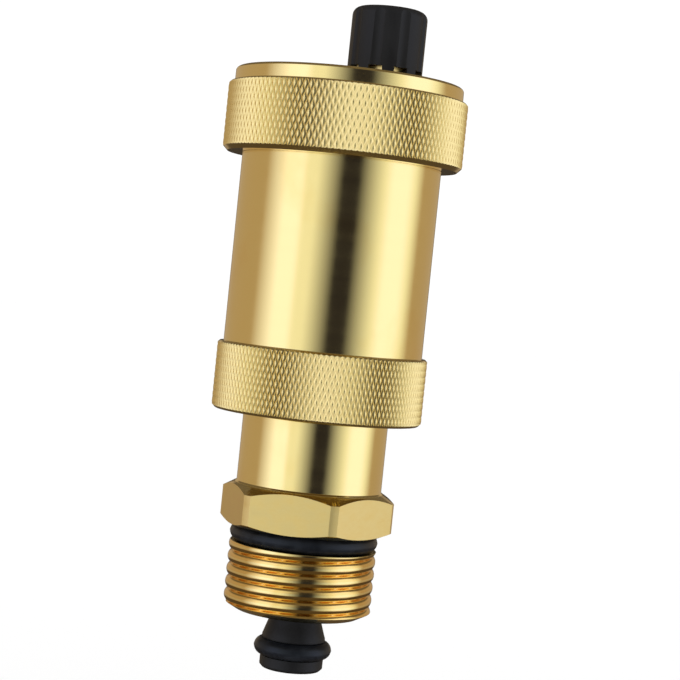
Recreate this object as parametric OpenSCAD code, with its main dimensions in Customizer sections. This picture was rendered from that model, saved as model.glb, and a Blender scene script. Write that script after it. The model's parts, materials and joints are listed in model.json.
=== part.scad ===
// Automatic air vent for heating systems, with a shut-off fitting that closes when the vent is unscrewed.
// Origin: centre of the hexagon's underside, on the axis of the inlet thread. +Z is up. Millimetres.

/* [Shut-off fitting] */
// Major diameter of the inlet thread (G 1/2)
inlet_major_d = 20.955; // [20.8:0.005:21.2]
// Pitch of the inlet thread
inlet_pitch = 1.814; // [1.7:0.002:1.82]
// Number of full thread crests
inlet_crests = 5; // [4:1:5]
// Length of the spigot below the hexagon
inlet_len = 11.9; // [11.8:0.1:12.6]
// Width of the hexagon across its flats
hex_af = 22; // [21.9:0.1:26]
// Height of the hexagon
hex_h = 5.9; // [5.8:0.1:8]
// Turn of the hexagon about the axis, in degrees
hex_turn = -11.3; // [-30:0.1:30]
// Diameter of the neck above the hexagon
neck_d = 20.6; // [20:0.1:21]
// Height of the neck
neck_h = 10.1; // [9:0.1:12]

/* [Check valve] */
// Diameter of the valve seat's bore
seat_bore_d = 10; // [9.9:0.05:10.1]
// Diameter of the plunger's foot
plunger_foot_d = 9; // [8.6:0.1:9.2]
// Distance from the end of the spigot to the plunger's underside
plunger_drop = 8.15; // [8.05:0.05:8.6]
// Outside diameter of the plunger's O-ring
plunger_ring_d = 11; // [10.9:0.05:11.2]

/* [Vent body] */
// Diameter of the knurled grip ring, over the knurl
grip_d = 29.8; // [29:0.1:32]
// Height of the grip ring
grip_h = 9.5; // [8:0.1:12]
// Outside diameter of the tube
tube_d = 28.2; // [27.6:0.1:28.6]
// Length of tube that shows between grip ring and cover
tube_show_h = 26.6; // [26:0.1:32]
// Diameter of the float chamber
chamber_d = 25.2; // [24.9:0.1:25.4]

/* [Cover] */
// Diameter of the knurled collar, over the knurl
collar_d = 33.9; // [33:0.1:36]
// Height of the knurled collar
collar_h = 9.7; // [9.5:0.1:10.5]
// Diameter of the plain rim above the collar
rim_d = 32.3; // [31:0.1:32.6]
// Height of the plain rim
rim_h = 2.1; // [2:0.1:3.4]

/* [Cap] */
// Diameter of the screw cap
cap_d = 10.64; // [10.6:0.02:11.4]
// Height of the screw cap
cap_h = 9.7; // [9.4:0.1:10.5]
// Distance of the cap's axis from the vent's axis
cap_offset = 4.7; // [4.5:0.1:4.9]
// Number of shallow grooves around the cap
cap_grooves = 9; // [6:1:12]

/* [Float and lever] */
// Diameter of the float
float_d = 23.2; // [22:0.1:23.4]
// Length of the float's barrel
float_len = 28; // [24:0.5:28]
// Distance of the lever's pivot from the vent's axis
pivot_x = 9.6; // [9.5:0.1:9.7]

/* [Hidden] */
$fn = 96;
eps = 0.01; // overlap used where one cut runs past a face
touch = 0.02; // gap left between two pieces that bear on each other

// Inlet thread: Whitworth form, as parallel rings
inlet_major_r = inlet_major_d / 2;
inlet_depth = 0.6403 * inlet_pitch;
inlet_root_r = inlet_major_r - inlet_depth;
inlet_crest_w = inlet_pitch / 6;
inlet_flank_w = inlet_depth * tan(27.5);
inlet_end_z = -inlet_len;
first_crest_z = -3.19;

// O-ring under the hexagon, in the relief groove above the thread; a shallow recess takes its top
port_ring_section = 2.35;
port_ring_out_r = 10.5;
port_ring_r = port_ring_out_r - port_ring_section / 2;
recess_r = port_ring_out_r + 0.1;
recess_h = 0.05;
port_ring_z = recess_h - port_ring_section / 2 - touch;
relief_r = port_ring_r - port_ring_section / 2 - touch;
relief_z = port_ring_z - port_ring_section / 2 - 0.03;
relief_edge_r = inlet_major_r - (relief_z - first_crest_z - inlet_crest_w / 2) / tan(27.5);

// Hexagon and neck
hex_face_r = 10.85; // edge of the flat underside
neck_fillet = 0.25;
hex_foot_r = neck_d / 2 + neck_fillet + 0.05; // where the turned slope above starts
hex_tip_r = hex_af / 2 / cos(30) - 0.34; // to which the corners are turned down
hex_low_chamfer_h = 0.7;
hex_top_chamfer_h = 1.05;
neck_top_z = hex_h + neck_h;

// Joint between fitting and vent body (G 3/8, as plain cylinders)
joint_major_r = 8.331;
joint_clear = 0.06;
joint_ledge_z = 10;
seal_bore_r = 7.2;
seal_bore_z = 2;
spring_bore_r = 6.4;
spring_ledge_z = -6.5;
seat_bore_r = seat_bore_d / 2;
seat_chamfer = 0.3;
joint_ring_section = 1.8;
joint_ring_r = seal_bore_r - touch / 2 - joint_ring_section / 2;
joint_ring_z = 5.5;

// Plunger
plunger_ring_section = 2.4;
plunger_ring_r = plunger_ring_d / 2 - plunger_ring_section / 2;
plunger_foot_z = inlet_end_z - plunger_drop;
plunger_ring_z = plunger_foot_z + 3;
plunger_groove_r = plunger_ring_r - plunger_ring_section / 2 - touch;
plunger_groove_h = plunger_ring_section + 0.1;
plunger_neck_r = 3.75;
stem_w = 9.6;
stem_t = 1.6;
stem_core_r = 2;
cup_z = 2.5;
spigot_z = 4;
cup_top_z = spigot_z - touch;
cup_r = 6.9;
clip_r = 2.6;
clip_h = 0.9;
check_wire_d = 0.7;
check_coil_r = 5.75;

// Vent body
grip_z = neck_top_z + touch;
tube_z = grip_z + grip_h - touch;
collar_z = tube_z + tube_show_h;
collar_top_z = collar_z + collar_h;
rim_top_z = collar_top_z + rim_h;
roof_z = collar_top_z;
tube_top_z = roof_z - 2.1;
chamber_floor_z = grip_z + 3.1;
throat_r = 4;
tube_r = tube_d / 2;
chamber_r = chamber_d / 2;
cover_ring_section = 0.9;
cover_shoulder_z = tube_top_z + cover_ring_section + 2 * touch;
cover_bore_r = tube_r + 0.05;
cover_cavity_r = 13.2;

// Nozzle and cap
flange_gap = 0.4;
flange_z = rim_top_z + flange_gap;
flange_h = 1.6;
flange_af = 8;
nozzle_r = 2.95;
nozzle_top_z = rim_top_z + 6.1;
orifice_r = 0.6;
nib_r = 1.3;
nib_z = roof_z - 1.6;
cap_r = cap_d / 2;
cap_z = rim_top_z + 0.5;
cap_bore_r = nozzle_r + 0.05;
cap_skirt_r = 4.75;
cap_skirt_h = 1.7;
seal_pocket_r = 3.2;
seal_t = 1.3;

// Lever work
pivot_z = roof_z - 3;
pivot_pin_r = 0.78;
ear_in_y = 2.6;
ear_t = 0.8;
plate_z = roof_z - 0.8;
screw_x = 9;
screw_y = 5;
screw_r = 0.78;
screw_head_r = 1.2;
lever_t = 1.2;
lever_w = 3;
link_pin_r = 0.7;
cheek_in_y = 1.7;
cheek_t = 0.8;
lever_coil_x = 1.9;
lever_coil_r = 0.72;
lever_wire_d = 0.36;

// Float
float_r = float_d / 2;
float_wall = 0.8;
float_z = chamber_floor_z + 4.5;
float_top_z = float_z + float_len;

// Colours
brass = "#c9a862";
black_plastic = "#2b2b2b";
rubber = "#1d1f24";
steel = "#b8bcc2";
white_plastic = "#e8e4d8";
fibre = "#8a3a2c";

// An O-ring whose section's centre lies on a circle of radius r at height z
module o_ring(r, section, z) {
    translate([0, 0, z])
        rotate_extrude()
            translate([r, 0])
                circle(d = section, $fn = 32);
}

// Wire wound on a cylinder of radius r, with closed ends, between heights z0 and z1
module coil(r, wire_d, z0, z1, turns) {
    sides = 8;
    steps_per_turn = 20;
    rings = turns * steps_per_turn;
    low = z0 + wire_d / 2 + touch;
    high = z1 - wire_d / 2 - touch;
    dead = wire_d * 1.05;
    active = turns - 2;
    function rise(t) = t < 1 ? low + dead * t
        : t > turns - 1 ? high - dead * (turns - t)
        : low + dead + (high - low - 2 * dead) * (t - 1) / active;
    points = [
        for (i = [0 : rings])
        for (k = [0 : sides - 1])
        let (around = 360 * i / steps_per_turn, wire = 360 * k / sides)
        let (out = r + wire_d / 2 * cos(wire))
        [out * cos(around), out * sin(around), rise(i / steps_per_turn) + wire_d / 2 * sin(wire)]
    ];
    skin = [
        for (i = [0 : rings - 1])
        for (k = [0 : sides - 1])
        let (a = i * sides + k, b = i * sides + (k + 1) % sides)
        [a, b, b + sides, a + sides]
    ];
    start_cap = [[for (k = [sides - 1 : -1 : 0]) k]];
    end_cap = [[for (k = [0 : sides - 1]) rings * sides + k]];
    polyhedron(points, concat(skin, start_cap, end_cap));
}

// Outline of a hexagon with its corners rounded to radius corner
module round_hexagon(af, corner) {
    steps = 6;
    centre_r = (af / 2 - corner) / cos(30);
    polygon([
        for (side = [0 : 5])
        for (step = [0 : steps])
        let (at = 60 * side, turn = at - 30 + 60 * step / steps)
        [centre_r * cos(at) + corner * cos(turn), centre_r * sin(at) + corner * sin(turn)]
    ]);
}

// Radius and height of the four corners of thread crest i, from above
function crest_points(i) = let (z = first_crest_z - i * inlet_pitch, half = inlet_crest_w / 2) [
    [inlet_root_r, z + half + inlet_flank_w],
    [inlet_major_r, z + half],
    [inlet_major_r, z - half],
    [inlet_root_r, z - half - inlet_flank_w]
];

module base_fitting() {
    lead = 0.5;
    crests = [for (i = [0 : inlet_crests - 1]) each crest_points(i)];
    threaded = [for (k = [1 : len(crests) - 1]) crests[k]];
    color(brass) {
        rotate_extrude()
            polygon(concat(
                [
                    [seat_bore_r, spring_ledge_z],
                    [spring_bore_r, spring_ledge_z],
                    [spring_bore_r, seal_bore_z],
                    [seal_bore_r, seal_bore_z + (seal_bore_r - spring_bore_r)],
                    [seal_bore_r, joint_ledge_z],
                    [joint_major_r + joint_clear, joint_ledge_z],
                    [joint_major_r + joint_clear, neck_top_z - 0.4],
                    [joint_major_r + joint_clear + 0.4, neck_top_z],
                    [neck_d / 2 - 0.3, neck_top_z],
                    [neck_d / 2, neck_top_z - 0.3],
                    [neck_d / 2, hex_h + neck_fillet],
                    [neck_d / 2 + neck_fillet, hex_h],
                    [neck_d / 2 + neck_fillet, hex_h / 2],
                    [relief_r, hex_h / 2],
                    [relief_r, relief_z],
                    [relief_edge_r, relief_z]
                ],
                threaded,
                [
                    [inlet_root_r, inlet_end_z + lead],
                    [inlet_root_r - lead, inlet_end_z],
                    [seat_bore_r + seat_chamfer, inlet_end_z],
                    [seat_bore_r, inlet_end_z + seat_chamfer]
                ]
            ));
        hexagon_nut();
    }
}

// The hexagon alone, with its corners turned down and sloped above and below
module hexagon_nut() {
    hub_r = seal_bore_r + 0.5;
    difference() {
        intersection() {
            rotate([0, 0, hex_turn])
                linear_extrude(hex_h)
                    circle(r = hex_af / 2 / cos(30), $fn = 6);
            rotate_extrude($fn = 288)
                polygon([
                    [0, 0],
                    [hex_face_r, 0],
                    [hex_tip_r, hex_low_chamfer_h],
                    [hex_tip_r, hex_h - hex_top_chamfer_h],
                    [hex_foot_r, hex_h],
                    [0, hex_h]
                ]);
        }
        translate([0, 0, -1])
            cylinder(r = hub_r, h = hex_h + 2);
        translate([0, 0, -1])
            cylinder(r = recess_r, h = 1 + recess_h);
    }
}

module port_o_ring() {
    color(rubber)
        o_ring(port_ring_r, port_ring_section, port_ring_z);
}

module check_plunger() {
    foot_r = plunger_foot_d / 2;
    groove_top_z = plunger_ring_z + plunger_groove_h / 2;
    groove_low_z = plunger_ring_z - plunger_groove_h / 2;
    stem_z = groove_top_z + 3.3;
    fin_z = stem_z - 0.2;
    clip_top_z = spigot_z + touch + clip_h;
    slit_w = 0.7;
    color(black_plastic)
        difference() {
            union() {
                rotate_extrude()
                    polygon([
                        [0, plunger_foot_z],
                        [foot_r - 0.4, plunger_foot_z],
                        [foot_r, plunger_foot_z + 0.4],
                        [foot_r, groove_low_z],
                        [plunger_groove_r, groove_low_z],
                        [plunger_groove_r, groove_top_z],
                        [foot_r, groove_top_z],
                        [foot_r, groove_top_z + 0.35],
                        [plunger_neck_r, groove_top_z + 2.6],
                        [plunger_neck_r, stem_z],
                        [stem_core_r, stem_z],
                        [stem_core_r, spigot_z + touch],
                        [clip_r, spigot_z + touch],
                        [stem_core_r, clip_top_z],
                        [0, clip_top_z]
                    ]);
                for (turn = [0, 90])
                    rotate([0, 0, turn])
                        translate([-stem_w / 2, -stem_t / 2, fin_z])
                            cube([stem_w, stem_t, cup_z - touch - fin_z]);
            }
            // slit that lets the clip close as the cup is pushed on
            translate([-slit_w / 2, -clip_r - 1, cup_z + touch])
                cube([slit_w, 2 * clip_r + 2, clip_h + spigot_z]);
        }
}

module plunger_o_ring() {
    color(rubber)
        o_ring(plunger_ring_r, plunger_ring_section, plunger_ring_z);
}

module spring_cup() {
    rim_in_r = 5;
    hub_r = 3.4;
    spoke_w = 1.6;
    cup_h = cup_top_z - cup_z;
    color(black_plastic)
        translate([0, 0, cup_z])
            difference() {
                union() {
                    difference() {
                        cylinder(r = cup_r, h = cup_h);
                        translate([0, 0, -1])
                            cylinder(r = rim_in_r, h = cup_h + 2);
                    }
                    cylinder(r = hub_r, h = cup_h);
                    for (turn = [45 : 90 : 315])
                        rotate([0, 0, turn])
                            translate([hub_r - 0.5, -spoke_w / 2, 0])
                                cube([rim_in_r - hub_r + 1, spoke_w, cup_h]);
                }
                translate([0, 0, -1])
                    cylinder(r = stem_core_r + 0.05, h = cup_h + 2);
            }
}

module check_spring() {
    color(steel)
        coil(check_coil_r, check_wire_d, spring_ledge_z, cup_z, 6);
}

module joint_o_ring() {
    color(rubber)
        o_ring(joint_ring_r, joint_ring_section, joint_ring_z);
}

module vent_body() {
    grip_r = grip_d / 2;
    groove_r = joint_ring_r - joint_ring_section / 2 - touch;
    groove_half = joint_ring_section / 2 + touch;
    spigot_r = seal_bore_r - 0.1;
    step_z = joint_ledge_z + 0.3;
    color(brass)
        rotate_extrude()
            polygon([
                [throat_r, spigot_z],
                [spigot_r - 0.2, spigot_z],
                [spigot_r, spigot_z + 0.2],
                [spigot_r, joint_ring_z - groove_half],
                [groove_r, joint_ring_z - groove_half],
                [groove_r, joint_ring_z + groove_half],
                [spigot_r, joint_ring_z + groove_half],
                [spigot_r, step_z],
                [joint_major_r - 0.6, step_z],
                [joint_major_r, step_z + 0.6],
                [joint_major_r, grip_z],
                [grip_r - 0.45, grip_z],
                [grip_r, grip_z + 0.45],
                [grip_r, tube_z - 0.3],
                [grip_r - 0.3, tube_z],
                [tube_r, tube_z],
                [tube_r, tube_top_z - 0.4],
                [tube_r - 0.4, tube_top_z],
                [chamber_r, tube_top_z],
                [chamber_r, chamber_floor_z + 1],
                [chamber_r - 1, chamber_floor_z],
                [throat_r, chamber_floor_z]
            ]);
}

module cover() {
    collar_r = collar_d / 2;
    rim_r = rim_d / 2;
    edge = 0.6;
    screw_hole_h = 1.8;
    color(brass)
        difference() {
            rotate_extrude()
                polygon([
                    [cover_bore_r, collar_z],
                    [collar_r - 0.7, collar_z],
                    [collar_r, collar_z + 0.7],
                    [collar_r, collar_top_z - 0.3],
                    [collar_r - 0.3, collar_top_z],
                    [rim_r, collar_top_z],
                    [rim_r, rim_top_z - edge],
                    for (turn = [15 : 15 : 75]) [
                        rim_r - edge + edge * cos(turn),
                        rim_top_z - edge + edge * sin(turn)
                    ],
                    [rim_r - edge, rim_top_z],
                    [0, rim_top_z],
                    [0, roof_z],
                    [cover_cavity_r, roof_z],
                    [cover_cavity_r, cover_shoulder_z],
                    [cover_bore_r, cover_shoulder_z]
                ]);
            translate([cap_offset, 0, roof_z - 1])
                cylinder(r = nozzle_r + touch, h = rim_h + 2, $fn = 48);
            for (side = [-1, 1])
                translate([screw_x, side * screw_y, roof_z - 1])
                    cylinder(r = screw_r + touch, h = screw_hole_h + 1, $fn = 32);
        }
}

module cover_o_ring() {
    color(rubber)
        o_ring(cover_cavity_r + 0.4, cover_ring_section, tube_top_z + cover_ring_section / 2 + touch);
}

module vent_nozzle() {
    color(brass)
        translate([cap_offset, 0, 0])
            difference() {
                union() {
                    rotate_extrude($fn = 64)
                        polygon([
                            [0, nib_z],
                            [nib_r - 0.3, nib_z],
                            [nib_r, nib_z + 0.3],
                            [nib_r, roof_z],
                            [nozzle_r, roof_z],
                            [nozzle_r, nozzle_top_z - 0.4],
                            [nozzle_r - 0.4, nozzle_top_z],
                            [0, nozzle_top_z]
                        ]);
                    translate([0, 0, flange_z])
                        linear_extrude(flange_h)
                            rotate([0, 0, 30])
                                round_hexagon(flange_af, 0.4);
                }
                translate([0, 0, nib_z - 1])
                    cylinder(r = orifice_r, h = nozzle_top_z - nib_z + 2, $fn = 32);
            }
}

module nozzle_gasket() {
    color(fibre)
        translate([cap_offset, 0, rim_top_z])
            difference() {
                cylinder(r = flange_af / 2 - 0.1, h = flange_gap, $fn = 64);
                translate([0, 0, -1])
                    cylinder(r = nozzle_r + 0.05, h = flange_gap + 2, $fn = 64);
            }
}

module lever_bracket() {
    plate_x = 7.4;
    plate_len = 3.8;
    plate_half_y = 6.4;
    ear_half_x = 1.4;
    ear_low_z = pivot_z - 1.2;
    color(steel)
        difference() {
            union() {
                translate([plate_x, -plate_half_y, plate_z])
                    cube([plate_len, 2 * plate_half_y, roof_z - plate_z]);
                for (y = [-ear_in_y - ear_t, ear_in_y]) {
                    translate([pivot_x - ear_half_x, y, pivot_z])
                        cube([2 * ear_half_x, ear_t, plate_z - pivot_z + eps]);
                    translate([pivot_x, y, pivot_z])
                        rotate([-90, 0, 0])
                            cylinder(r = ear_half_x, h = ear_t, $fn = 48);
                }
            }
            translate([pivot_x, 0, pivot_z])
                rotate([90, 0, 0])
                    cylinder(r = pivot_pin_r + touch, h = 4 * ear_in_y, center = true, $fn = 32);
            for (side = [-1, 1])
                translate([screw_x, side * screw_y, ear_low_z])
                    cylinder(r = screw_r + touch, h = roof_z, $fn = 32);
        }
}

module bracket_screws() {
    head_h = 0.8;
    slot_w = 0.35;
    color(steel)
        for (side = [-1, 1])
            translate([screw_x, side * screw_y, plate_z])
                difference() {
                    union() {
                        cylinder(r = screw_r, h = 2.4, $fn = 32);
                        translate([0, 0, -head_h])
                            cylinder(r = screw_head_r, h = head_h, $fn = 32);
                    }
                    translate([-2, -slot_w / 2, -head_h - 1])
                        cube([4, slot_w, 1 + head_h / 2]);
                }
}

module lever_pin() {
    head_y = -ear_in_y - ear_t - touch;
    color(steel)
        translate([pivot_x, head_y, pivot_z])
            rotate([-90, 0, 0]) {
                cylinder(r = pivot_pin_r, h = 2 * (ear_in_y + ear_t) + 0.5, $fn = 32);
                translate([0, 0, -0.5])
                    cylinder(r = screw_head_r, h = 0.5, $fn = 32);
            }
}

module lever_spring() {
    color(steel)
        translate([lever_coil_x, 0, 0])
            coil(lever_coil_r, lever_wire_d, pivot_z + lever_t / 2, roof_z, 3.5);
}

module valve_lever() {
    pivot_barrel_r = 1.4;
    link_barrel_r = 1.1;
    pad_pocket_r = 1.9;
    color(brass)
        difference() {
            union() {
                translate([0, -lever_w / 2, pivot_z - lever_t / 2])
                    cube([pivot_x, lever_w, lever_t]);
                translate([pivot_x, 0, pivot_z])
                    rotate([90, 0, 0])
                        cylinder(r = pivot_barrel_r, h = 2 * ear_in_y - 0.2, center = true, $fn = 48);
                translate([0, 0, pivot_z])
                    rotate([90, 0, 0])
                        cylinder(r = link_barrel_r, h = lever_w, center = true, $fn = 48);
                translate([cap_offset, 0, pivot_z - lever_t / 2])
                    cylinder(r = pad_pocket_r + 0.5, h = lever_t, $fn = 48);
            }
            translate([pivot_x, 0, pivot_z])
                rotate([90, 0, 0])
                    cylinder(r = pivot_pin_r + 0.03, h = 2 * ear_in_y + 1, center = true, $fn = 32);
            translate([0, 0, pivot_z])
                rotate([90, 0, 0])
                    cylinder(r = link_pin_r, h = lever_w + 1, center = true, $fn = 32);
            translate([cap_offset, 0, pivot_z])
                cylinder(r = pad_pocket_r, h = lever_t, $fn = 48);
        }
}

module seat_pad() {
    color(rubber)
        translate([cap_offset, 0, pivot_z])
            cylinder(r = 1.87, h = nib_z - touch - pivot_z, $fn = 48);
}

module link_pin() {
    color(steel)
        translate([0, 0, pivot_z])
            rotate([90, 0, 0])
                cylinder(r = link_pin_r, h = 2 * (cheek_in_y + cheek_t) + 0.4, center = true, $fn = 32);
}

module float_shell() {
    dome = 1.2;
    rib_r = chamber_r - 0.4;
    rib_w = 1;
    rib_h = float_len - 6;
    cheek_half_x = 1.8;
    slot_half_h = link_pin_r + 0.05;
    slot_reach = 0.35;
    color(white_plastic)
        difference() {
            union() {
                rotate_extrude()
                    polygon([
                        [float_r - float_wall, float_z],
                        [float_r, float_z],
                        [float_r, float_top_z - dome],
                        [float_r - dome, float_top_z],
                        [0, float_top_z],
                        [0, float_top_z - float_wall],
                        [float_r - dome - float_wall / 2, float_top_z - float_wall],
                        [float_r - float_wall, float_top_z - dome - float_wall / 2]
                    ]);
                for (turn = [45 : 90 : 315])
                    rotate([0, 0, turn])
                        translate([float_r - float_wall / 2, -rib_w / 2, float_z + 3])
                            cube([rib_r - float_r + float_wall / 2, rib_w, rib_h]);
                // post with two cheeks that straddle the lever
                for (y = [-cheek_in_y - cheek_t, cheek_in_y])
                    translate([-cheek_half_x, y, float_top_z - float_wall / 2])
                        cube([2 * cheek_half_x, cheek_t, pivot_z + 1.4 - float_top_z + float_wall / 2]);
                translate([-cheek_half_x, -cheek_in_y - cheek_t / 2, float_top_z - float_wall / 2])
                    cube([2 * cheek_half_x, 2 * cheek_in_y + cheek_t, 2.5]);
            }
            // slots in which the link pin slides as the lever swings
            translate([-slot_reach, 0, pivot_z])
                rotate([90, 0, 0])
                    cylinder(r = slot_half_h, h = 10, center = true, $fn = 32);
            translate([slot_reach, 0, pivot_z])
                rotate([90, 0, 0])
                    cylinder(r = slot_half_h, h = 10, center = true, $fn = 32);
            translate([-slot_reach, -5, pivot_z - slot_half_h])
                cube([2 * slot_reach, 10, 2 * slot_half_h]);
        }
}

module float_lid() {
    lid_t = 1.2;
    color(white_plastic)
        translate([0, 0, float_z]) {
            cylinder(r = float_r - float_wall - touch, h = lid_t);
            cylinder(r = 2, h = lid_t + 1.5, $fn = 48);
        }
}

module cap_seal() {
    color(rubber)
        translate([cap_offset, 0, nozzle_top_z + touch])
            cylinder(r = seal_pocket_r - 0.05, h = seal_t - 2 * touch, $fn = 64);
}

module vent_cap() {
    groove_r = 1.5;
    groove_depth = 0.25;
    notch_w = 2;
    notch_h = 1.25;
    edge = 1.2;
    cap_top_z = cap_z + cap_h;
    color(black_plastic)
        translate([cap_offset, 0, 0])
            difference() {
                rotate_extrude()
                    polygon([
                        [cap_skirt_r, cap_z],
                        [cap_r, cap_z],
                        [cap_r, cap_top_z - edge],
                        for (turn = [15 : 15 : 75]) [
                            cap_r - edge + edge * cos(turn),
                            cap_top_z - edge + edge * sin(turn)
                        ],
                        [cap_r - edge, cap_top_z],
                        [0, cap_top_z],
                        [0, nozzle_top_z + seal_t],
                        [seal_pocket_r, nozzle_top_z + seal_t],
                        [seal_pocket_r, nozzle_top_z],
                        [cap_bore_r, nozzle_top_z],
                        [cap_bore_r, cap_z + cap_skirt_h],
                        [cap_skirt_r, cap_z + cap_skirt_h]
                    ]);
                for (i = [0 : cap_grooves - 1])
                    rotate([0, 0, (i + 0.5) * 360 / cap_grooves - 86])
                        translate([cap_r + groove_r - groove_depth, 0, cap_z - 1])
                            cylinder(r = groove_r, h = cap_h + 2, $fn = 32);
                // notches that let the air out under the skirt
                for (i = [0 : cap_grooves - 1])
                    rotate([0, 0, (i + 0.5) * 360 / cap_grooves - 86])
                        translate([cap_skirt_r - 1, -notch_w / 2, cap_z - 1])
                            cube([3, notch_w, 1 + notch_h]);
            }
}

base_fitting();
port_o_ring();
check_plunger();
plunger_o_ring();
spring_cup();
check_spring();
joint_o_ring();
vent_body();
cover();
cover_o_ring();
vent_nozzle();
nozzle_gasket();
lever_bracket();
bracket_screws();
lever_pin();
lever_spring();
valve_lever();
seat_pad();
link_pin();
float_shell();
float_lid();
cap_seal();
vent_cap();
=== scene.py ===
"""Looks of an automatic air vent: turned and knurled brass, black plastic and rubber, on a pale floor.

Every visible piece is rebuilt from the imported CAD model. Turned parts are lathed from a section of their CAD
node with rounded edges. Knurls and threads are then cut with rings whose inner face is a height field.
Lengths are in metres; MM turns millimetres into metres.
"""

import json
import math

import bmesh
import bpy
from mathutils import Matrix, Quaternion, Vector
from mathutils.geometry import convex_hull_2d


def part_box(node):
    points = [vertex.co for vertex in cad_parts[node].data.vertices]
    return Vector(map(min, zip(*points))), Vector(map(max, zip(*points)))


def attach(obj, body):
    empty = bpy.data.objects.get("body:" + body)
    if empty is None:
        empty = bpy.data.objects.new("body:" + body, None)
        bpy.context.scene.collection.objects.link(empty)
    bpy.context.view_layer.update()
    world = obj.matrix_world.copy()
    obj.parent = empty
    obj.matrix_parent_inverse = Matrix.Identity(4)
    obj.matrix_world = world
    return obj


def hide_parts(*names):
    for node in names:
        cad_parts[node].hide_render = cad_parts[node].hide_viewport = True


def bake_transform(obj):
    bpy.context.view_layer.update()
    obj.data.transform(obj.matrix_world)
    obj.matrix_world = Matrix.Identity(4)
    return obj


MM = 0.001
TAU = 2 * math.pi
TOUCH = 0.02 * MM  # two places nearer than this are taken to be the same
STRAIGHT = 0.012 * MM  # a point of an outline this close to a straight line lies on it
WELD = 0.001 * MM
FINE_WELD = 0.0002 * MM
CORNER = math.radians(25)  # an outline that bends by more than this has a corner there
SHARP = math.radians(35)  # a surface that bends by more than this keeps a sharp edge
LATHE_STEPS = 256
AXIS = (0, 0)  # the vent's own axis
CORNER_STEPS = 3
TIP_CLEARANCE = 0.01 * MM  # how far outside the surface a cutter passes over the tips it leaves

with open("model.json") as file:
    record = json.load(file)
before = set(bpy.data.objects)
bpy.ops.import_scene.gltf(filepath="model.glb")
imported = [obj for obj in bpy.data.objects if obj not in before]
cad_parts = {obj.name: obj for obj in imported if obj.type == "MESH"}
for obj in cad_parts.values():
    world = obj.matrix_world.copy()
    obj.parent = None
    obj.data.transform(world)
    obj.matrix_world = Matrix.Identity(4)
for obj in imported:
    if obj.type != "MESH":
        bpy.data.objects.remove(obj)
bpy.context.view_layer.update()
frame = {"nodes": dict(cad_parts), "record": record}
record = frame["record"]
body_of_node = {node: body for body, nodes in record["behaviour"]["bodies"].items() for node in nodes}
slot_of_node = {part["node"]: part["material_slot"] for part in record["subparts"]}
ratios = {coupling["joint"]: coupling["ratio"] for coupling in record["behaviour"]["couplings"]}
mounts = {mount["name"]: mount for mount in record["mounts"]}


# ---------------------------------------------------------------- reading the frame


def cad_points(node):
    return [v.co.copy() for v in frame["nodes"][node].data.vertices]


def radius_of(point, axis):
    return math.hypot(point.x - axis[0], point.y - axis[1])


def widest(node):
    """Greatest radius of a node about the vent's axis, and the lowest and highest height that reach it."""
    points = cad_points(node)
    radius = max(radius_of(p, AXIS) for p in points)
    heights = [p.z for p in points if radius_of(p, AXIS) > radius - TOUCH]
    return radius, min(heights), max(heights)


def hole_radius(node, axis):
    """Radius of the hole that a node has on an upright axis."""
    return min(radius_of(p, axis) for p in cad_points(node))


def centre_of(node):
    low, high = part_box(node)
    return (low + high) / 2


def cad_mesh(node):
    """A welded bmesh copy of a CAD node."""
    bm = bmesh.new()
    bm.from_mesh(frame["nodes"][node].data)
    bmesh.ops.remove_doubles(bm, verts=bm.verts, dist=WELD)
    return bm


def chains_of(edges):
    """The runs of vertices that edges join end to end; an open run starts at one of its ends."""
    links = {}
    for edge in edges:
        a, b = edge.verts
        links.setdefault(a, []).append(b)
        links.setdefault(b, []).append(a)
    left = set(links)
    chains = []
    while left:
        ends = [v for v in left if len(links[v]) == 1]
        now = min(ends or left, key=lambda v: (v.co.z, v.co.x))
        chain = []
        while now is not None:
            left.discard(now)
            chain.append(now)
            now = next((v for v in links[now] if v in left), None)
        chains.append(chain)
    return chains


def section(node, azimuth, axis=AXIS):
    """The outline, as (radius, height) points, in which a half plane through an upright axis cuts a node."""
    bm = cad_mesh(node)
    turn = Matrix.Rotation(-azimuth, 4, "Z") @ Matrix.Translation((-axis[0], -axis[1], 0))
    bmesh.ops.transform(bm, matrix=turn, verts=bm.verts)
    everything = bm.verts[:] + bm.edges[:] + bm.faces[:]
    bmesh.ops.bisect_plane(
        bm, geom=everything, plane_co=(0, 0, 0), plane_no=(1, 0, 0), dist=1e-9, clear_inner=True
    )
    everything = bm.verts[:] + bm.edges[:] + bm.faces[:]
    cut = bmesh.ops.bisect_plane(bm, geom=everything, plane_co=(0, 0, 0), plane_no=(0, 1, 0), dist=1e-9)
    edges = [e for e in cut["geom_cut"] if isinstance(e, bmesh.types.BMEdge)]
    chains = chains_of(edges)
    outline = [Vector((max(v.co.x, 0.0), v.co.z)) for v in max(chains, key=len)]
    bm.free()
    closed = outline[0].x > TOUCH or outline[-1].x > TOUCH
    return straightened(outline, closed), closed


def straightened(points, closed):
    """The outline without the points that lie on the straight line between their neighbours."""
    kept = []
    for i, point in enumerate(points):
        if not closed and i in (0, len(points) - 1):
            kept.append(point)
            continue
        before = kept[-1] if kept else points[i - 1]
        after = points[(i + 1) % len(points)]
        along = after - before
        reach = point - before
        if along.length < 1e-9 or abs(along.x * reach.y - along.y * reach.x) / along.length > STRAIGHT:
            kept.append(point)
    return kept


# ---------------------------------------------------------------- building meshes


def new_object(name, bm):
    """An object made of a bmesh, with its faces turned outwards."""
    bmesh.ops.recalc_face_normals(bm, faces=bm.faces)
    mesh = bpy.data.meshes.new(name)
    bm.to_mesh(mesh)
    bm.free()
    piece = bpy.data.objects.new(name, mesh)
    bpy.context.scene.collection.objects.link(piece)
    return piece


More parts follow.
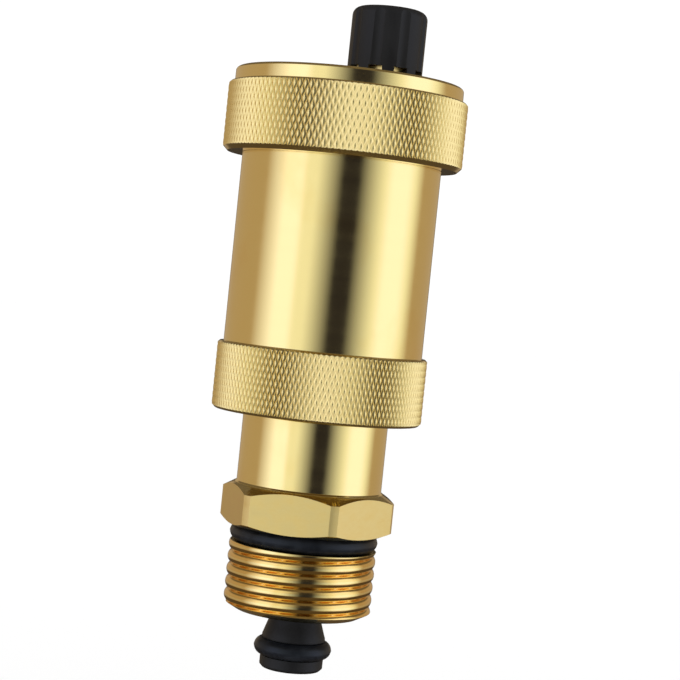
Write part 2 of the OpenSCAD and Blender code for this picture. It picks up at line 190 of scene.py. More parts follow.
def rounded(points, closed, radius):
    """The outline with each of its corners replaced by a short curve."""
    out = []
    count = len(points)
    for i, corner in enumerate(points):
        if not closed and i in (0, count - 1):
            out.append(corner)
            continue
        back = points[i - 1] - corner
        on = points[(i + 1) % count] - corner
        turn = math.pi - back.angle(on)
        if turn < CORNER:
            out.append(corner)
            continue
        reach = min(radius * math.tan(turn / 2), 0.4 * back.length, 0.4 * on.length)
        start = corner + back.normalized() * reach
        end = corner + on.normalized() * reach
        for step in range(CORNER_STEPS + 1):
            t = step / CORNER_STEPS
            out.append(start * (1 - t) ** 2 + corner * 2 * t * (1 - t) + end * t * t)
    return out


def lathe(name, points, closed, axis=AXIS, steps=LATHE_STEPS):
    """Turns an outline of (radius, height) points about an upright axis."""
    bm = bmesh.new()
    rings = []
    for point in points:
        if point.x < TOUCH / 2:
            rings.append([bm.verts.new((axis[0], axis[1], point.y))] * steps)
            continue
        ring = []
        for step in range(steps):
            azimuth = TAU * step / steps
            x = axis[0] + point.x * math.cos(azimuth)
            y = axis[1] + point.x * math.sin(azimuth)
            ring.append(bm.verts.new((x, y, point.y)))
        rings.append(ring)
    pairs = zip(rings, rings[1:] + rings[:1]) if closed else zip(rings, rings[1:])
    for one, two in pairs:
        for step in range(steps):
            after = (step + 1) % steps
            corners = [one[step], one[after], two[after], two[step]]
            corners = [v for i, v in enumerate(corners) if v not in corners[:i]]
            if len(corners) > 2:
                bm.faces.new(corners)
    return new_object(name, bm)


def field_ring(name, outer, low, row_height, rows, columns, radius_at, crease=None):
    """A ring that cuts knurls and threads: its inner face has the radius radius_at(column, row).

    crease(column, row) says which way a face is split, so that a sharp valley runs along an edge.
    """
    bm = bmesh.new()
    grid = []
    for row in range(rows + 1):
        z = low + row * row_height
        ring = []
        for column in range(columns):
            azimuth = TAU * column / columns
            r = radius_at(column, row)
            ring.append(bm.verts.new((r * math.cos(azimuth), r * math.sin(azimuth), z)))
        grid.append(ring)
    shell = []
    for row in (0, rows):
        z = low + row * row_height
        shell.append([
            bm.verts.new((outer * math.cos(TAU * c / columns), outer * math.sin(TAU * c / columns), z))
            for c in range(columns)
        ])
    for column in range(columns):
        after = (column + 1) % columns
        for row in range(rows):
            a, b = grid[row][column], grid[row][after]
            c, d = grid[row + 1][after], grid[row + 1][column]
            if crease is None:
                bm.faces.new((a, b, c, d))
            elif crease(column, row):
                bm.faces.new((a, b, d))
                bm.faces.new((b, c, d))
            else:
                bm.faces.new((a, b, c))
                bm.faces.new((a, c, d))
        bm.faces.new((grid[0][column], grid[0][after], shell[0][after], shell[0][column]))
        bm.faces.new((grid[rows][column], grid[rows][after], shell[1][after], shell[1][column]))
        bm.faces.new((shell[0][column], shell[0][after], shell[1][after], shell[1][column]))
    return new_object(name, bm)


def knurl_ring(radius, low, high, count, period, depth):
    """Cutter for a diamond knurl: count diamonds around, each period high, with their tips just blunted."""
    steps = 8
    row_height = period / steps
    rows = math.ceil((high - low) / row_height)
    blunt = 1.5

    def ramp(position):
        return 1 - abs(2 * (position % 1.0) - 1)

    def radius_at(column, row):
        height = min(ramp((column + row) / steps), ramp((column - row) / steps))
        crown = 1 - (1 - height) ** blunt
        return radius - depth + (depth + TIP_CLEARANCE) * crown

    def crease(column, row):
        return (column + row + 1) % steps == 0

    return field_ring("knurl_cutter", radius + MM, low, row_height, rows, count * steps, radius_at, crease)


def thread_ring(radius, low, high, pitch, depth, axis=AXIS, crest=0.0):
    """Cutter for a right-hand thread with round crests and narrow roots.

    One of its crests passes +X at the height that crest gives.
    """
    columns = 180
    rows_per_turn = 24
    row_height = pitch / rows_per_turn
    rows = math.ceil((high - low) / row_height)
    sharpness = 0.45

    def radius_at(column, row):
        phase = row / rows_per_turn - column / columns + (low - crest) / pitch
        fall = 1 - abs(math.cos(math.pi * phase)) ** sharpness
        return radius + TIP_CLEARANCE - (depth + TIP_CLEARANCE) * fall

    ring = field_ring("thread_cutter", radius + MM, low, row_height, rows, columns, radius_at)
    ring.data.transform(Matrix.Translation((axis[0], axis[1], 0)))
    return ring


def combined(piece, other, operation):
    """Joins, cuts or intersects piece with other, which is used up. Each face keeps its own material."""
    bpy.context.view_layer.update()
    boolean = piece.modifiers.new(operation, "BOOLEAN")
    boolean.operation = operation
    boolean.solver = "MANIFOLD"
    boolean.material_mode = "TRANSFER"
    boolean.object = other
    graph = bpy.context.evaluated_depsgraph_get()
    mesh = bpy.data.meshes.new_from_object(piece.evaluated_get(graph))
    piece.modifiers.clear()
    piece.data = mesh
    bpy.data.objects.remove(other)
    return piece


def cylinder(radius, low, high, axis=AXIS, steps=96):
    outline = [Vector((0, low)), Vector((radius, low)), Vector((radius, high)), Vector((0, high))]
    return lathe("cylinder_cutter", outline, closed=False, axis=axis, steps=steps)


def prism(outline, low, high):
    bm = bmesh.new()
    bottom = [bm.verts.new((x, y, low)) for x, y in outline]
    top = [bm.verts.new((x, y, high)) for x, y in outline]
    bm.faces.new(bottom)
    bm.faces.new(top)
    for i in range(len(outline)):
        after = (i + 1) % len(outline)
        bm.faces.new((bottom[i], bottom[after], top[after], top[i]))
    return new_object("prism", bm)


def ease_object(piece, width, corner_degrees=30):
    """Bevels an object's sharp edges, and leaves it as it was if that would open its surface."""
    bm = bmesh.new()
    bm.from_mesh(piece.data)
    bmesh.ops.remove_doubles(bm, verts=bm.verts, dist=FINE_WELD)
    bmesh.ops.dissolve_limit(bm, angle_limit=math.radians(0.3), verts=bm.verts, edges=bm.edges)
    sharp = [e for e in bm.edges if e.is_manifold and e.calc_face_angle(0) > math.radians(corner_degrees)]
    bmesh.ops.bevel(bm, geom=sharp, offset=width, segments=2, profile=0.5, affect="EDGES", clamp_overlap=True)
    bmesh.ops.remove_doubles(bm, verts=bm.verts, dist=FINE_WELD)
    if all(edge.is_manifold for edge in bm.edges):
        bm.to_mesh(piece.data)
    bm.free()
    return piece


def shaded(piece):
    """Smooth shading that keeps sharp edges, with large faces setting the normals."""
    for polygon in piece.data.polygons:
        polygon.use_smooth = True
    piece.data.set_sharp_from_angle(angle=SHARP)
    weighted = piece.modifiers.new("weighted_normals", "WEIGHTED_NORMAL")
    weighted.keep_sharp = True
    return piece


def settled(piece, node):
    """Hides the CAD node that a piece stands for, and lets the piece move with that node's body."""
    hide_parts(node)
    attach(piece, body_of_node[node])
    return piece


def torus(name, node):
    """An O-ring that fills its node's box, with the faint line its mould leaves around it."""
    low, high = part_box(node)
    thick = (high.z - low.z) / 2
    centre = (high.x - low.x) / 2 - thick
    sides = 32
    flash = 0.03 * MM
    outline = []
    for side in range(sides):
        turn = TAU * side / sides
        r = thick + (flash if side in (0, sides // 2) else 0.0)
        height = (low.z + high.z) / 2 + thick * math.sin(turn)
        outline.append(Vector((centre + r * math.cos(turn), height)))
    return lathe(name, outline, closed=True)


def coil(name, node, turns, axis):
    """A spring of round wire with closed ends, as large as its node."""
    radii = [radius_of(p, axis) for p in cad_points(node)]
    wire = (max(radii) - min(radii)) / 2
    centre = (max(radii) + min(radii)) / 2
    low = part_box(node)[0].z + wire
    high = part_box(node)[1].z - wire
    dead = 2.1 * wire
    sides, steps_per_turn = 16, 56

    def height(turn):
        if turn < 1:
            return low + dead * turn
        if turn > turns - 1:
            return high - dead * (turns - turn)
        return low + dead + (high - low - 2 * dead) * (turn - 1) / (turns - 2)

    bm = bmesh.new()
    rings = []
    for step in range(round(turns * steps_per_turn) + 1):
        azimuth = TAU * step / steps_per_turn
        z = height(step / steps_per_turn)
        ring = []
        for side in range(sides):
            around = TAU * side / sides
            r = centre + wire * math.cos(around)
            x = axis[0] + r * math.cos(azimuth)
            y = axis[1] + r * math.sin(azimuth)
            ring.append(bm.verts.new((x, y, z + wire * math.sin(around))))
        rings.append(ring)
    for one, two in zip(rings, rings[1:]):
        for side in range(sides):
            after = (side + 1) % sides
            bm.faces.new((one[side], one[after], two[after], two[side]))
    bm.faces.new(rings[0])
    bm.faces.new(rings[-1])
    return new_object(name, bm)


def copied(name, node, width):
    """A copy of a CAD node with its sharp edges eased."""
    return ease_object(new_object(name, cad_mesh(node)), width)


# ---------------------------------------------------------------- materials


# most values of a noise texture lie between these
NOISE_LOW = 0.3
NOISE_HIGH = 0.7


class Graph:
    """A node tree, and short calls that add nodes to it."""

    def __init__(self, tree):
        self.tree = tree

    def node(self, kind, **inputs):
        made = self.tree.nodes.new(kind)
        for name, value in inputs.items():
            self.connect(value, made.inputs[name.replace("_", " ")])
        return made

    def connect(self, value, socket):
        if isinstance(value, bpy.types.NodeSocket):
            self.tree.links.new(value, socket)
        else:
            socket.default_value = value

    def math(self, operation, *values):
        made = self.node("ShaderNodeMath")
        made.operation = operation
        for value, socket in zip(values, made.inputs):
            self.connect(value, socket)
        return made.outputs[0]

    def mix(self, factor, low, high):
        made = self.node("ShaderNodeMix")
        made.data_type = "RGBA"
        for value, name in ((factor, "Factor_Float"), (low, "A_Color"), (high, "B_Color")):
            self.connect(value, next(s for s in made.inputs if s.identifier == name))
        return next(s for s in made.outputs if s.identifier == "Result_Color")


class Finish(Graph):
    """A material with a principled shader, and short calls for what varies it."""

    def __init__(self, name, colour, metallic=0.0, roughness=0.5):
        self.material = bpy.data.materials.new(name)
        self.material.use_nodes = True
        super().__init__(self.material.node_tree)
        self.shader = self.tree.nodes["Principled BSDF"]
        self.shader.inputs["Base Color"].default_value = (*colour, 1)
        self.shader.inputs["Metallic"].default_value = metallic
        self.shader.inputs["Roughness"].default_value = roughness
        self.place = self.node("ShaderNodeTexCoord").outputs["Object"]

    def scaled(self, scale):
        """The place on the object, in metres, stretched by scale along x, y and z."""
        return self.node("ShaderNodeMapping", Vector=self.place, Scale=scale).outputs["Vector"]

    def around(self, fineness):
        """A place that depends only on distance from the vent's axis and on height, as lathe marks do."""
        split = self.node("ShaderNodeSeparateXYZ", Vector=self.place)
        flat = self.node("ShaderNodeCombineXYZ", X=split.outputs["X"], Y=split.outputs["Y"])
        length = self.node("ShaderNodeVectorMath")
        length.operation = "LENGTH"
        self.connect(flat.outputs[0], length.inputs[0])
        out = self.math("MULTIPLY", length.outputs["Value"], fineness)
        up = self.math("MULTIPLY", split.outputs["Z"], fineness)
        return self.node("ShaderNodeCombineXYZ", X=out, Z=up).outputs[0]

    def noise(self, vector, detail, rough=0.5):
        made = self.node("ShaderNodeTexNoise", Vector=vector, Scale=1.0, Detail=detail, Roughness=rough)
        return made.outputs["Fac"]

    def span(self, value, low, high):
        """A noise value spread from low to high."""
        spread = self.node("ShaderNodeMapRange", Value=value)
        spread.inputs["From Min"].default_value = NOISE_LOW
        spread.inputs["From Max"].default_value = NOISE_HIGH
        spread.inputs["To Min"].default_value = low
        spread.inputs["To Max"].default_value = high
        return spread.outputs["Result"]

    def tint(self, value, low, high, start=NOISE_LOW, end=NOISE_HIGH):
        """A colour that goes from low to high with the value."""
        ramp = self.node("ShaderNodeValToRGB", Fac=value)
        ramp.color_ramp.elements[0].position = start
        ramp.color_ramp.elements[0].color = (*low, 1)
        ramp.color_ramp.elements[1].position = end
        ramp.color_ramp.elements[1].color = (*high, 1)
        return ramp.outputs["Color"]

    def colour(self, socket):
        self.connect(socket, self.shader.inputs["Base Color"])

    def roughness(self, socket):
        self.connect(socket, self.shader.inputs["Roughness"])

    def bump(self, height, strength, distance):
        """A bump, laid on top of any bump that is already there."""
        relief = self.node("ShaderNodeBump", Height=height, Strength=strength, Distance=distance)
        normal = self.shader.inputs["Normal"]
        if normal.links:
            self.connect(normal.links[0].from_socket, relief.inputs["Normal"])
        self.connect(relief.outputs["Normal"], normal)


BRASS = (0.93, 0.75, 0.33)
BRASS_WARM = (0.90, 0.66, 0.24)


def brass_turned():
    """Polished turned brass: faint rings from the lathe and a slightly uneven tarnish."""
    finish = Finish("brass_turned", BRASS, metallic=1.0)
    rings = finish.noise(finish.around(4000), detail=4.0)
    broad_rings = finish.noise(finish.around(500), detail=2.0)
    clouds = finish.noise(finish.scaled((90, 90, 60)), detail=4.0)
    finish.colour(finish.tint(clouds, BRASS_WARM, BRASS, 0.25, 0.45))
    finish.roughness(finish.span(broad_rings, 0.1, 0.17))
    finish.bump(rings, 0.35, 0.0016 * MM)
    return finish.material


def brass_milled():
    """The hexagon's faces: drawn bar with a fine satin grain that runs upright."""
    finish = Finish("brass_milled", BRASS, metallic=1.0)
    grain = finish.noise(finish.scaled((9000, 9000, 400)), detail=3.0)
    scuffs = finish.noise(finish.scaled((500, 500, 900)), detail=5.0, rough=0.6)
    finish.colour(finish.tint(scuffs, (0.80, 0.58, 0.21), (0.85, 0.66, 0.27), 0.2, 0.6))
    finish.roughness(finish.span(scuffs, 0.3, 0.42))
    finish.bump(grain, 0.5, 0.004 * MM)
    return finish.material


def brass_rolled(name, low, high, valley, crest):
    """Knurl and thread flanks: brass pressed by a tool, with painted shade that darkens its valleys."""
    finish = Finish(name, crest, metallic=1.0)
    grain = finish.noise(finish.scaled((3000, 3000, 3000)), detail=3.0)
    valley_shade_mask = finish.node("ShaderNodeNewGeometry").outputs["Pointiness"]
    # painted shade: where the surface is least pointy, in its valleys, the colour goes to the darker valley
    # colour
    finish.colour(finish.tint(valley_shade_mask, valley, crest, 0.46, 0.53))
    finish.roughness(finish.span(grain, low, high))
    finish.bump(grain, 0.3, 0.003 * MM)
    return finish.material


def black_plastic():
    """Glass-filled plastic with a fine moulded grain."""
    finish = Finish("black_plastic", (0.012, 0.012, 0.013), roughness=0.5)
    finish.shader.inputs["Specular IOR Level"].default_value = 0.4
    finish.shader.inputs["Specular Tint"].default_value = (0.5, 0.5, 0.52, 1)
    grain = finish.noise(finish.scaled((6000, 6000, 6000)), detail=2.0)
    flow = finish.noise(finish.scaled((300, 300, 120)), detail=4.0)
    finish.colour(finish.tint(flow, (0.009, 0.009, 0.010), (0.016, 0.016, 0.017)))
    finish.roughness(finish.span(flow, 0.42, 0.58))
    finish.bump(grain, 0.35, 0.012 * MM)
    return finish.material


def rubber():
    """Nitrile rubber with a slight bloom."""
    finish = Finish("rubber", (0.01, 0.011, 0.014), roughness=0.4)
    finish.shader.inputs["Specular IOR Level"].default_value = 0.45
    finish.shader.inputs["Specular Tint"].default_value = (0.45, 0.5, 0.58, 1)
    bloom = finish.noise(finish.scaled((700, 700, 700)), detail=5.0)
    grain = finish.noise(finish.scaled((9000, 9000, 9000)), detail=2.0)
    finish.colour(finish.tint(bloom, (0.006, 0.007, 0.010), (0.014, 0.016, 0.021)))
    finish.roughness(finish.span(bloom, 0.3, 0.5))
    finish.bump(grain, 0.3, 0.006 * MM)
    return finish.material


def steel(name, streak):
    """Stainless steel, with the marks of drawing or rolling stretched along z by streak."""
    finish = Finish(name, (0.58, 0.58, 0.59), metallic=1.0)
    marks = finish.noise(finish.scaled((6000, 6000, 6000 / streak)), detail=3.0)
    finish.colour(finish.tint(marks, (0.48, 0.48, 0.49), (0.66, 0.66, 0.67)))
    finish.roughness(finish.span(marks, 0.18, 0.34))
    finish.bump(marks, 0.3, 0.003 * MM)
    return finish.material


def white_plastic():
    """Moulded polypropylene, slightly translucent."""
    finish = Finish("white_plastic", (0.8, 0.78, 0.71), roughness=0.42)
    finish.shader.inputs["Subsurface Weight"].default_value = 0.2
    finish.shader.inputs["Subsurface Scale"].default_value = MM
    clouds = finish.noise(finish.scaled((200, 200, 200)), detail=4.0)
    grain = finish.noise(finish.scaled((4000, 4000, 4000)), detail=2.0)
    finish.colour(finish.tint(clouds, (0.76, 0.74, 0.66), (0.83, 0.81, 0.75)))
    finish.roughness(finish.span(clouds, 0.36, 0.5))
    finish.bump(grain, 0.3, 0.008 * MM)
    return finish.material


def fibre():
    """Red vulcanised fibre board with short fibres in its plane."""
    finish = Finish("fibre", (0.42, 0.13, 0.09), roughness=0.8)
    fibres = finish.noise(finish.scaled((2500, 9000, 9000)), detail=4.0)
    finish.colour(finish.tint(fibres, (0.33, 0.09, 0.06), (0.52, 0.19, 0.13)))
    finish.roughness(finish.span(fibres, 0.65, 0.9))
    finish.bump(fibres, 0.5, 0.02 * MM)
    return finish.material


FINISHES = {
    "brass_turned": brass_turned(),
    "brass_milled": brass_milled(),
    # the first colour of each rolled finish is painted shade for its valleys
    "brass_knurl": brass_rolled("brass_knurl", 0.27, 0.35, (0.86, 0.67, 0.27), BRASS),
    # the thread's colours are warmer than BRASS as painted light bounced between its flanks
    "brass_thread": brass_rolled("brass_thread", 0.1, 0.17, (0.88, 0.57, 0.19), (0.93, 0.67, 0.24)),
    "black_plastic": black_plastic(),
    "rubber": rubber(),
    "spring_steel": steel("spring_steel", 1.0),
    "steel": steel("steel", 6.0),
    "white_plastic": white_plastic(),
    "fibre": fibre(),
}
SLOT_FINISH = {**{name: name for name in FINISHES}, "brass": "brass_turned"}


def painted(piece, finish):
    piece.data.materials.clear()
    piece.data.materials.append(FINISHES[finish])
    return piece


# ---------------------------------------------------------------- turned brass

EDGE = 0.15 * MM
KNURL_ROUND = 128  # diamonds around either knurled band
KNURL_RUNOUT = 0.45 * MM  # how far the knurl's cutter reaches past its band
INLET_PITCH = 1.814 * MM
INLET_CREST = -7.48 * MM  # the height at which a crest passes +X
JOINT_CLEARANCE = 0.06 * MM
MOUTH_CHAMFER = 0.4 * MM
NOZZLE_PITCH = 1.0 * MM
WHITWORTH_DEPTH = 0.64  # of the pitch


def turned(node, azimuth):
    """A turned CAD node, lathed again from its section with rounded edges."""
    outline, closed = section(node, azimuth)
    piece = lathe(node + "_turned", rounded(outline, closed, EDGE), closed)
    return painted(piece, "brass_turned")


def knurled(piece, node, period, depth):
    """Rolls a diamond knurl into the widest band of a turned piece."""
    radius, low, high = widest(node)
    ring = knurl_ring(radius, low - KNURL_RUNOUT, high + KNURL_RUNOUT, KNURL_ROUND, period, depth)
    return combined(piece, painted(ring, "brass_knurl"), "DIFFERENCE")


def threaded(piece, *shape, **options):
    """Cuts a right-hand thread, with thread_ring's shape and options, into a cylinder of a turned piece."""
    ring = thread_ring(*shape, **options)
    return combined(piece, painted(ring, "brass_thread"), "DIFFERENCE")


def vent_body():
    piece = knurled(turned("vent_body", azimuth=0.3), "vent_body", period=1.86 * MM, depth=0.15 * MM)
    # the spigot's thread turns the vent by its coupling's ratio, in radians for each metre of lift
    pitch = TAU / ratios["vent_turn"]
    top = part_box("base_fitting")[1].z
    spigot = hole_radius_at("base_fitting", top) - JOINT_CLEARANCE
    ring_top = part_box("joint_o_ring")[1].z
    start = ring_top + 2 * MM
    piece = threaded(piece, spigot, start, top, pitch, WHITWORTH_DEPTH * pitch)
    return settled(shaded(piece), "vent_body")


def hole_radius_at(node, height):
    """Radius of the hole in a node's top face, without the chamfer at its mouth."""
    return min(radius_of(p, AXIS) for p in cad_points(node) if p.z > height - TOUCH) - MOUTH_CHAMFER


def cover():
    piece = knurled(turned("cover", azimuth=math.pi), "cover", period=1.91 * MM, depth=0.155 * MM)
    low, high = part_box("cover")
    nozzle = centre_of("vent_nozzle")
    place = (nozzle.x, nozzle.y)
    shank = cylinder(hole_radius("cover", place), low.z, high.z + MM, place)
    combined(piece, painted(shank, "brass_turned"), "DIFFERENCE")
    screws_low, screws_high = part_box("bracket_screws")
    head = (screws_high.x - screws_low.x) / 2
    hole_top = screws_high.z + 0.2 * MM
    for y in (screws_low.y + head, screws_high.y - head):
        place = ((screws_low.x + screws_high.x) / 2, y)
        hole = cylinder(hole_radius("cover", place), low.z, hole_top, place, steps=48)
        combined(piece, painted(hole, "brass_turned"), "DIFFERENCE")
    return settled(shaded(piece), "cover")


def hexagon(node, low, high, tip, axis=AXIS):
    """A CAD node's hexagon between two heights: a prism whose tips are turned off as in the CAD."""
    across = [p for p in cad_points(node) if low - TOUCH < p.z < high + TOUCH]
    flat = [Vector((p.x, p.y)) for p in across]
    piece = painted(prism([flat[i] for i in convex_hull_2d(flat)], low, high), "brass_milled")
    full = [p.z for p in across if radius_of(p, axis) > tip - TOUCH]
    beyond = tip + MM
    cone = [Vector((0, low))]
    for end, start in ((low, min(full)), (high, max(full))):
        face = max(radius_of(p, axis) for p in across if abs(p.z - end) < TOUCH)
        if face < tip - TOUCH:
            outer = Vector((beyond, end + (start - end) * (beyond - face) / (tip - face)))
            cone += [Vector((face, end)), outer] if end == low else [outer, Vector((face, end))]
    cone.append(Vector((0, high)))
    if len(cone) > 2:
        cone_piece = painted(lathe("hexagon_cone", cone, closed=False, axis=axis), "brass_turned")
        combined(piece, cone_piece, "INTERSECT")
    return ease_object(piece, 0.05 * MM, corner_degrees=16)


def replaced_run(outline, dropped, instead):
    """A closed outline whose one run of points that dropped() picks gives way to others, listed upwards."""
    count = len(outline)
    first = next(i for i in range(count) if dropped(outline[i]) and not dropped(outline[i - 1]))
    length = next(n for n in range(1, count) if not dropped(outline[(first + n) % count]))
    upwards = outline[(first + length) % count].y > outline[first - 1].y
    rest = [outline[(first + length + n) % count] for n in range(count - length)]
    return rest + (instead if upwards else instead[::-1])


def base_fitting():
    """The core is lathed with a plain inlet cylinder; the hexagon is joined on and the thread is cut."""
    node = "base_fitting"
    thread = mounts["inlet_thread"]
    crest = thread["dims"]["r_mm"] * MM
    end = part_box(node)[0].z
    upper = [p for p in cad_points(node) if p.z > TOUCH]
    tip_point = max(upper, key=lambda p: radius_of(p, AXIS))
    tip = radius_of(tip_point, AXIS)
    hex_high = max(p.z for p in upper if radius_of(p, AXIS) > crest)
    outline, closed = section(node, math.atan2(tip_point.y, tip_point.x) + TAU / 12)
    ring_low, ring_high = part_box("port_o_ring")
    ring_inner = ring_high.x - (ring_high.z - ring_low.z)
    relief = min((p.x for p in outline), key=lambda x: abs(x - ring_inner))
    relief_low = min(p.y for p in outline if abs(p.x - relief) < TOUCH)
    recess = min(p.x for p in outline if abs(p.y) < TOUCH)
    recess_top = max(p.y for p in outline if abs(p.x - recess) < TOUCH and p.y < MM)
    foot = min(p.x for p in outline if abs(p.y - hex_high) < TOUCH)
    mouth = max(p.x for p in outline if p.y < end + TOUCH)
    lead = 0.9 * MM
    inside_hexagon = hex_high / 2
    core = replaced_run(
        outline, lambda p: -TOUCH < p.y < hex_high + TOUCH and p.x > relief + TOUCH,
        [Vector((relief, inside_hexagon)), Vector((foot, inside_hexagon)), Vector((foot, hex_high))],
    )
    core = replaced_run(
        core, lambda p: end + TOUCH < p.y < relief_low + TOUCH and p.x > mouth + TOUCH,
        [Vector((crest, end + lead)), Vector((crest, relief_low))],
    )
    piece = painted(lathe(node + "_turned", rounded(core, closed, EDGE), closed), "brass_turned")
    nut = hexagon(node, 0.0, hex_high, tip)
    overlap = 0.3 * MM
    hole = cylinder(relief - overlap, -MM, hex_high + MM)
    combined(nut, painted(hole, "brass_turned"), "DIFFERENCE")
    seat = cylinder(recess, -MM, recess_top)
    combined(nut, painted(seat, "brass_turned"), "DIFFERENCE")
    combined(piece, nut, "UNION")
    low, high = end - INLET_PITCH, (ring_low.z + ring_high.z) / 2
    # shallower than the full form, and chosen by how the thread looks
    depth = 0.37 * INLET_PITCH
    threaded(piece, crest, low, high, INLET_PITCH, depth, crest=INLET_CREST)
    return settled(shaded(piece), node)


def vent_nozzle():
    """The nozzle's stem with its M6 thread, its hexagonal flange and its nib."""
    node = "vent_nozzle"
    centre = centre_of(node)
    axis = (centre.x, centre.y)
    points = cad_points(node)
    tip = max(radius_of(p, axis) for p in points)
    flange = [p.z for p in points if radius_of(p, axis) > tip - TOUCH]
    low, high = min(flange), max(flange)
    outline, closed = section(node, 0.0, axis)
    stem = max(p.x for p in outline if p.y > high + MM)
    core = [p for p in outline if not (low - TOUCH < p.y < high + TOUCH and p.x > stem)]
    core = [Vector((min(p.x, stem), p.y)) for p in core]
    piece = painted(lathe(node + "_turned", rounded(core, closed, EDGE / 2), closed, axis), "brass_turned")
    flange_piece = hexagon(node, low, high, tip, axis)
    bore = painted(cylinder(stem / 2, low - MM, high + MM, axis), "brass_turned")
    combined(flange_piece, bore, "DIFFERENCE")
    combined(piece, flange_piece, "UNION")
    start = high + 0.4 * MM
    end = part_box(node)[1].z + MM
    threaded(piece, stem, start, end, NOZZLE_PITCH, 0.6 * NOZZLE_PITCH, axis=axis)
    return settled(shaded(piece), node)


# ---------------------------------------------------------------- the other pieces


def plain(node, width):
    piece = painted(copied(node + "_eased", node, width), SLOT_FINISH[slot_of_node[node]])
    return settled(shaded(piece), node)


def o_ring(node):
    piece = painted(torus(node + "_moulded", node), "rubber")
    return settled(shaded(piece), node)


def spring(node, turns, axis):
    """A wound spring in place of its CAD node, fixed where the node stands."""
    piece = shaded(painted(coil(node + "_wound", node, turns, axis), "spring_steel"))
    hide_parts(node)
    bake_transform(piece)
    return piece


def build_pieces():
    vent_body()
    cover()
    base_fitting()
    vent_nozzle()
    for node in ("port_o_ring", "joint_o_ring", "cover_o_ring", "plunger_o_ring"):
        o_ring(node)
    spring("check_spring", 6, AXIS)
    middle = centre_of("lever_spring")
    spring("lever_spring", 3.5, (middle.x, 0))
    plain("vent_cap", 0.16 * MM)
    plain("check_plunger", 0.1 * MM)
    for node in (
        "spring_cup", "float_shell", "float_lid", "nozzle_gasket", "lever_bracket", "bracket_screws",
        "lever_pin", "valve_lever", "seat_pad", "link_pin", "cap_seal",
    ):
        plain(node, 0.05 * MM)


# ---------------------------------------------------------------- studio


def studio():
    """White surroundings. Polished brass sees a tent with a broad dark opening to the right of the camera."""
    world = bpy.data.worlds.new("studio")
    bpy.context.scene.world = world
    world.use_nodes = True
    graph = Graph(world.node_tree)
    background = graph.tree.nodes["Background"]
    split = graph.node("ShaderNodeSeparateXYZ", Vector=graph.node("ShaderNodeTexCoord").outputs["Generated"])
    x, y, z = split.outputs
    azimuth = graph.math("ARCTAN2", x, graph.math("MULTIPLY", y, -1.0))
    around = graph.math("ADD", graph.math("DIVIDE", azimuth, TAU), 0.5)
    walls = graph.node("ShaderNodeValToRGB", Fac=around)
    brightest = max(max(level) for degrees, level in TENT)
    ramp = walls.color_ramp
    for index, (degrees, level) in enumerate(TENT):
        position = (degrees + 180) / 360
        stop = ramp.elements[index] if index < 2 else ramp.elements.new(position)
        stop.position = position
        stop.color = (*[part / brightest for part in level], 1)
    # tops and undersides see the far wall by its upper and lower parts, which are dark
    steepness = graph.math("MULTIPLY_ADD", graph.math("MAXIMUM", y, 0.0), FAR_STEEPNESS, 1.0)
    z = graph.math("MULTIPLY", z, steepness)
    seen = walls.outputs["Color"]
    for (wall_end, dark_start), colour in ((TOP_FADE, TENT_TOP), (FLOOR_FADE, TENT_FLOOR)):
        fade = graph.node("ShaderNodeMapRange", Value=z)
        fade.interpolation_type = "SMOOTHSTEP"
        fade.inputs["From Min"].default_value = wall_end
        fade.inputs["From Max"].default_value = dark_start
        seen = graph.mix(fade.outputs["Result"], seen, (*colour, 1))
    rays = graph.node("ShaderNodeLightPath")
    reflected = rays.outputs["Is Glossy Ray"]
    graph.connect(graph.mix(reflected, (*ROOM, 1), seen), background.inputs["Color"])
    strength = graph.math("MULTIPLY_ADD", reflected, brightest - 1.0, 1.0)
    graph.connect(strength, background.inputs["Strength"])


# what the brass reflects
PANEL = (1.22, 1.27, 1.50)
SCREEN = (0.99, 1.03, 1.00)
SIDE_WALL = (0.46, 0.36, 0.25)
OPENING = (0.02, 0.018, 0.024)
FAR_WALL = (0.05, 0.04, 0.03)
# where each of them starts and ends, by azimuth in degrees from the camera and positive to its right
TENT = (
    (-180, FAR_WALL), (-173, FAR_WALL),
    (-164, SIDE_WALL), (-92, SIDE_WALL),
    (-62, PANEL), (-44, PANEL),
    (-36, SCREEN), (-25, SCREEN),
    (4, OPENING), (22, OPENING),
    (53, SCREEN),
    (64, PANEL), (85, PANEL),
    (97, SCREEN),
    (112, SIDE_WALL), (164, SIDE_WALL),
    (173, FAR_WALL),
)
TENT_TOP = (0.10, 0.08, 0.055)
TENT_FLOOR = (0.06, 0.045, 0.03)
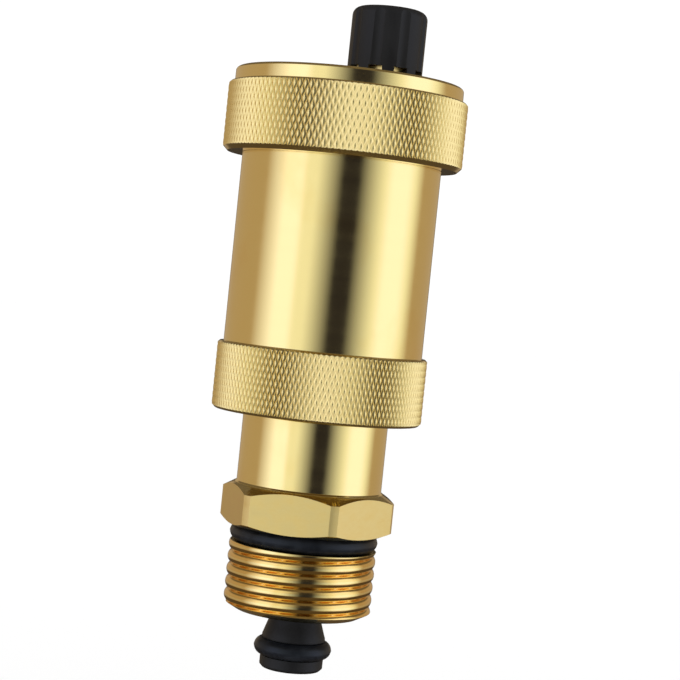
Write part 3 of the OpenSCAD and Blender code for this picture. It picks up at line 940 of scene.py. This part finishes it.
# the walls give way to the tent's top, and to its floor, between these heights of a direction
TOP_FADE = (0.5, 0.72)
FLOOR_FADE = (-0.3, -0.62)
FAR_STEEPNESS = 1.6  # how much sooner they do so towards the far wall
ROOM = (1.05, 1.05, 1.05)  # what everything but a mirror image sees


def floor():
    """A white floor well below the vent, so that no shadow shows, and that the polished metal doesn't see."""
    level = min(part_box(node)[0].z for node in frame["nodes"]) - 30 * MM
    half = 3000 * MM
    corners = ((-half, -half), (half, -half), (half, half), (-half, half))
    bm = bmesh.new()
    bm.faces.new([bm.verts.new((x, y, level)) for x, y in corners])
    plane = new_object("floor", bm)
    material = bpy.data.materials.new("floor")
    material.use_nodes = True
    shader = material.node_tree.nodes["Principled BSDF"]
    shader.inputs["Base Color"].default_value = (0.96, 0.96, 0.96, 1)
    shader.inputs["Roughness"].default_value = 1.0
    shader.inputs["Specular IOR Level"].default_value = 0.0
    # seen from below, the floor lets the view through
    graph = Graph(material.node_tree)
    through = graph.node("ShaderNodeBsdfTransparent").outputs[0]
    below = graph.node("ShaderNodeNewGeometry").outputs["Backfacing"]
    blend = graph.node("ShaderNodeMixShader")
    for socket, source in zip(blend.inputs, (below, shader.outputs[0], through)):
        graph.connect(source, socket)
    graph.connect(blend.outputs[0], graph.tree.nodes["Material Output"].inputs["Surface"])
    plane.data.materials.append(material)
    plane.visible_glossy = False


def camera():
    """A long lens in front of the vent and slightly above its middle, turned so that the vent leans right."""
    data = bpy.data.cameras.new("camera")
    data.lens = 98.58
    data.sensor_width = 36.0
    data.clip_start = 0.01
    held = bpy.data.objects.new("camera", data)
    bpy.context.scene.collection.objects.link(held)
    held.location = Vector((2.29, -263.6, 34.57)) * MM
    pitch, roll = math.radians(-1.625), math.radians(5.84)
    aim = Vector((0, math.cos(pitch), math.sin(pitch)))
    held.rotation_mode = "QUATERNION"
    held.rotation_quaternion = aim.to_track_quat("-Z", "Y") @ Quaternion((0, 0, 1), roll)
    bpy.context.scene.camera = held


build_pieces()
studio()
floor()
camera()
bpy.context.scene.view_settings.view_transform = "Standard"
